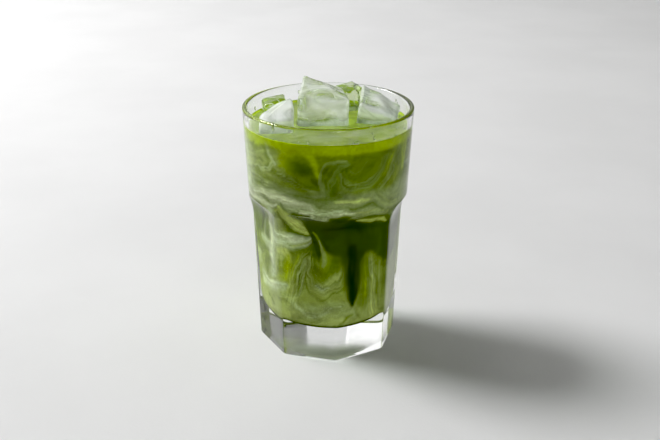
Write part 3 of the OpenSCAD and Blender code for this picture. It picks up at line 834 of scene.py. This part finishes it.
# ---- the drink
def drink_colours(points):
    """Swirls on the wall, a milky floor, a mottled surface and beds round the ice painted pale, as if lit,
    over their shade.
    """
    colour = swirled(points)
    radius = np.hypot(points[:, 0], points[:, 1])
    bent = points + 5 * np.stack([lattice_noise(points, 10, 311 + k) for k in range(3)], -1)
    bent += 1.8 * np.stack([lattice_noise(bent, 4, 321 + k) for k in range(3)], -1)
    mottle = lattice_noise(bent * (0.6, 1.3, 0.6), 6, 301)
    mottle += 0.5 * lattice_noise(bent * (0.6, 1.5, 1), 2.6, 302)
    vein = np.clip(1 - np.abs(lattice_noise(bent * (0.6, 1.2, 1), 5, 303)) / 0.12, 0, 1)

    def blend(target, cover):
        return colour + (np.array(target) - colour) * np.clip(cover, 0, 1)[:, None]
    edge = (BASE_T + 3.2 - points[:, 2]) / 1.2
    colour = blend(DEEP, edge * 0.85)
    floor_r = BORE_FLOOR_R - FLOOR_ROUND + 1.9
    colour = blend(MILKY_FLOOR, (floor_r - radius) * (points[:, 2] < BASE_T + 2))
    inside = np.clip((bore_r(points[:, 2]) - 0.9 - radius) / 0.8, 0, 1) * (points[:, 2] > BASE_T + 30)
    colour = blend(LIME_SOFT, inside)
    colour = blend(OLIVE, inside * (0.35 - 0.9 * mottle))
    colour = blend(MEADOW, inside * (-0.05 + 1.1 * mottle))
    colour = blend(PALE, inside * vein * (0.35 + 0.4 * mottle))
    sunk_blocks = (((-5, -27), (12, 5.5), 0.12), ((15, -22), (7, 5), -0.5), ((4, 34), (5, 3), 0.4))
    for middle, size, turn in sunk_blocks:
        x = (points[:, 0] - middle[0]) * math.cos(turn) + (points[:, 1] - middle[1]) * math.sin(turn)
        y = (points[:, 1] - middle[1]) * math.cos(turn) - (points[:, 0] - middle[0]) * math.sin(turn)
        squared_off = (np.abs(x / size[0]) ** 4 + np.abs(y / size[1]) ** 4) ** 0.25
        sunk = np.clip((1 - squared_off) * 3 + 0.4 * mottle, 0, 1)
        colour = blend(SUNK_ICE, inside * sunk * 0.4)
    # the drink's face round each cube under the surface: painted pale, as if lit, over the shade in the hole
    lit_bed = inside * np.clip((FILL_Z - 0.4 - points[:, 2]) / 1.5, 0, 1)
    colour = blend(LIT_BED, lit_bed)
    colour = blend(BED_GREEN, lit_bed * (1.3 * mottle - 0.45))
    return colour


def make_drink(cutters):
    """The drink, up the bore to its meniscus, in to the middle and cut round the ice."""
    turn = np.linspace(-math.pi, math.pi, DRINK_AROUND, endpoint=False)
    angles = turn - 0.5 * np.sin(turn) - math.pi / 2   # closer together in front, where the swirls are finest
    rings = [ring(angles, r, z) for r, z in bore_profile(FILL_Z + MENISCUS_H, DRINK_UP, EMBED)]
    wall = float(bore_r(FILL_Z)) + EMBED
    for d in np.concatenate([np.linspace(0.15, 4, 12), np.linspace(4, wall - 1.2, 24)[1:]]):
        rings.append(ring(angles, wall - d, surface_z(d)))
    obj = shell("drink_swirled", np.array(rings))
    obj.data.materials.append(drink_material("drink_at_the_wall", 0.0, 0.5))
    obj.data.materials.append(drink_material("drink_surface", 0.5, 0.08))
    for cutter in cutters:
        cut = obj.modifiers.new("round_" + cutter.name, "BOOLEAN")
        cut.operation, cut.solver, cut.object = "DIFFERENCE", "EXACT", cutter
    apply_modifiers(obj)
    co = coords(obj.data)
    middles = coords_of_faces(obj.data)
    inner = np.hypot(middles[:, 0], middles[:, 1]) < bore_r(middles[:, 2]) - 0.1
    inner &= middles[:, 2] > BASE_T + 20
    obj.data.polygons.foreach_set("material_index", inner.astype(np.int32))
    layer = obj.data.attributes.new("swirl", "FLOAT_COLOR", "POINT")
    colours = np.concatenate([drink_colours(co), np.ones((len(co), 1))], 1)
    layer.data.foreach_set("color", colours.astype(np.float32).ravel())
    obj.data.shade_smooth()
    return obj


# ---- bubbles and drops
def blob(rng, radius, flat):
    """Rings of points of a small drop that is flat along z, a little uneven."""
    turn = np.linspace(0, 2 * math.pi, 20, endpoint=False)
    lumps = 1 + 0.05 * np.sin(2 * turn + rng.uniform(0, 6.28))
    lumps += 0.03 * np.sin(3 * turn + rng.uniform(0, 6.28))
    return np.array([ring(turn, radius * math.sin(a) * lumps, -radius * flat * math.cos(a))
                     for a in np.linspace(0.12, math.pi - 0.12, 11)])


def joined(name, parts, material):
    """Joins parts into one piece of one material."""
    for obj in parts:
        obj.data.materials.append(material)
    with bpy.context.temp_override(active_object=parts[0], selected_editable_objects=parts):
        bpy.ops.object.join()
    parts[0].name = name
    return parts[0]


def make_bubbles():
    """Bubbles that float along the wall, most of them tiny."""
    rng = np.random.default_rng(5)
    # the bubbles in front: degrees round from the corner on -Y, and radius in mm
    spots = [(13.5, 1.5), (-21, 1.0), (-24, 0.8), (-26.5, 1.1), (-29, 0.7), (-31, 0.9), (-55, 0.8), (33, 0.7)]
    for k in range(SMALL_BUBBLES):
        spots.append((rng.uniform(-180, 180), rng.uniform(0.3, 0.75)))
    parts = []
    for angle, radius in spots:
        rings = blob(rng, radius, 0.8)
        turn = math.radians(angle)
        away = float(bore_r(FILL_Z)) - radius - 0.25 - rng.uniform(0, 0.8)
        height = surface_z(float(bore_r(FILL_Z)) - away) + 0.7 * radius
        rings = rings + np.array([away * math.sin(turn), -away * math.cos(turn), height])
        parts.append(shell("bubble", rings))
    return joined("bubbles", parts, water_material())


def make_drops():
    """Drops of water that cling to the inside of the wall, above the drink."""
    rng = np.random.default_rng(9)
    parts = []
    for k in range(DROPS):
        radius = rng.uniform(0.45, 1.0)
        rings = blob(rng, radius, 0.42)
        rings[:, :, 1] *= rng.uniform(1.0, 1.35)
        angle, height = rng.uniform(-math.pi, math.pi), rng.uniform(FILL_Z + 2.2, GLASS_H - 2.4)
        outward = np.array([math.cos(angle), math.sin(angle), 0.0])
        along = np.array([-math.sin(angle), math.cos(angle), 0.0])
        up = np.array([0.0, 0.0, 1.0])
        away = float(bore_r(height)) + 0.12 * radius
        centre = outward * away + up * height
        turned = rings[..., :1] * along + rings[..., 1:2] * up + rings[..., 2:] * outward
        parts.append(shell("drop", turned + centre))
    return joined("drops", parts, water_material())


def hole_for(block):
    """A copy of a cube, SNUG smaller all round, to cut its hole in the drink."""
    mesh = block.data.copy()
    cutter = placed("hole_" + block.name, mesh)
    mesh_co = coords(mesh)
    centre = mesh_co.mean(0)
    half = (mesh_co.max(0) - mesh_co.min(0)) / 2
    mesh_co = centre + (mesh_co - centre) * (1 - SNUG / half)
    mesh.vertices.foreach_set("co", (mesh_co * MM).ravel())
    return cutter


# ---- the pieces
# each cube's share of frost and its tint
ICE_NODES = {"ice_centre": (0.62, (0.95, 0.985, 0.93)), "ice_left_front": (0.92, (0.96, 0.99, 0.95)),
             "ice_left_back": (0.34, (0.84, 0.90, 0.74)), "ice_back": (0.14, (0.66, 0.74, 0.48)),
             "ice_right": (0.75, (0.95, 0.99, 0.94))}
tumbler = make_tumbler()
ice = [make_ice(node, seed, frost, tint) for seed, (node, (frost, tint)) in enumerate(ICE_NODES.items())]
cutters = [hole_for(block) for block in ice]
drink = make_drink(cutters)
for cutter in cutters:
    bpy.data.objects.remove(cutter)

bubbles = make_bubbles()
drops = make_drops()
for extra in (bubbles, drops):
    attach(extra, "root")
pieces = [(tumbler, "tumbler", "tumbler_glass"), (drink, "drink", "drink")]
pieces += [(block, node, "ice") for block, node in zip(ice, ICE_NODES)]
for piece, node, slot in pieces:
    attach(piece, "root")
    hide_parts(node)

# ---- floor, light and camera, in metres
CAMERA_TURN = -6.6   # degrees by which the camera looks past the corner on -Y
CAMERA_X, CAMERA_BACK, CAMERA_UP = 0.00116, 0.4937, 0.2722
PITCH, ROLL = 0.396, 0.004   # radians
SENSOR, LENS = 36.0, 54.5    # millimetres
FLOOR_HALF, FLOOR_GAP = 3.0, 0.00005
PANEL_H = 1.26               # height of the bright panels behind the glass
KEY_FAR = 2.4
WORLD_GREY = 0.095
BLACK_LEVEL = (0.016, 0.014, 0.022)   # what the picture shows as black: a grade over the whole of it
BOUNCES = 16
TURN = Matrix.Rotation(math.radians(CAMERA_TURN), 4, "Z")


def make_floor():
    bm = bmesh.new()
    bmesh.ops.create_grid(bm, x_segments=24, y_segments=24, size=FLOOR_HALF)
    mesh = bpy.data.meshes.new("floor")
    bm.to_mesh(mesh)
    bm.free()
    mesh.materials.append(floor_material())
    floor = placed("floor", mesh)
    floor.location.z = -FLOOR_GAP
    return floor


def soft_light(name, place, wide, power, high=None, target=(0, 0, 0.06)):
    """An area light turned to a target: a panel wide by high, or a disc if it has no height."""
    place, target = TURN @ Vector(place), TURN @ Vector(target)
    data = bpy.data.lights.new(name, "AREA")
    data.shape, data.size, data.energy = "DISK", wide, power
    if high:
        data.shape, data.size_y = "RECTANGLE", high
    lamp = placed(name, data)
    lamp.location = place
    lamp.rotation_euler = (target - place).to_track_quat("-Z", "Y").to_euler()


make_floor()
soft_light("key", (-0.655 * KEY_FAR, 0.25 * KEY_FAR, 0.713 * KEY_FAR), 0.86, 43.5)
soft_light("strip", (-1.35, 0.5, 0.8), 0.5, 17.0, 3.2, (0, 0.5, 0))
# bright panels behind, which show through the clear foot and rim
soft_light("back", (-0.156, 1.98, 1.02), 1.41, 3.6, PANEL_H)
soft_light("side", (1.05, 1.68, 1.02), 1.14, 0.7, PANEL_H)
soft_light("window", (-1.19, 1.58, 1.02), 1.2, 4.8, PANEL_H)
# low panel in front, which lights the sides of the glass but hardly the floor
soft_light("fill", (0.9, -1.9, 0.3), 1.4, 15.0, 0.45)

world = bpy.data.worlds.new("studio")
world.use_nodes = True
world.node_tree.nodes["Background"].inputs[0].default_value = (WORLD_GREY, WORLD_GREY, WORLD_GREY, 1)
bpy.context.scene.world = world

camera_data = bpy.data.cameras.new("camera")
camera_data.sensor_width, camera_data.lens = SENSOR, LENS
camera = placed("camera", camera_data)
tilt = Matrix.Rotation(math.pi / 2 - PITCH, 4, "X") @ Matrix.Rotation(ROLL, 4, "Z")
camera.matrix_world = TURN @ Matrix.Translation((CAMERA_X, -CAMERA_BACK, CAMERA_UP)) @ tilt
bpy.context.scene.camera = camera

scene = bpy.context.scene
scene.view_settings.view_transform = "Standard"
scene.view_settings.use_curve_mapping = True
scene.view_settings.curve_mapping.black_level = BLACK_LEVEL
scene.cycles.max_bounces = BOUNCES
scene.cycles.transmission_bounces = BOUNCES
scene.cycles.transparent_max_bounces = BOUNCES
scene.cycles.caustics_reflective = False
scene.cycles.caustics_refractive = True
scene.cycles.sample_clamp_indirect = 4.0
scene.cycles.use_denoising = True
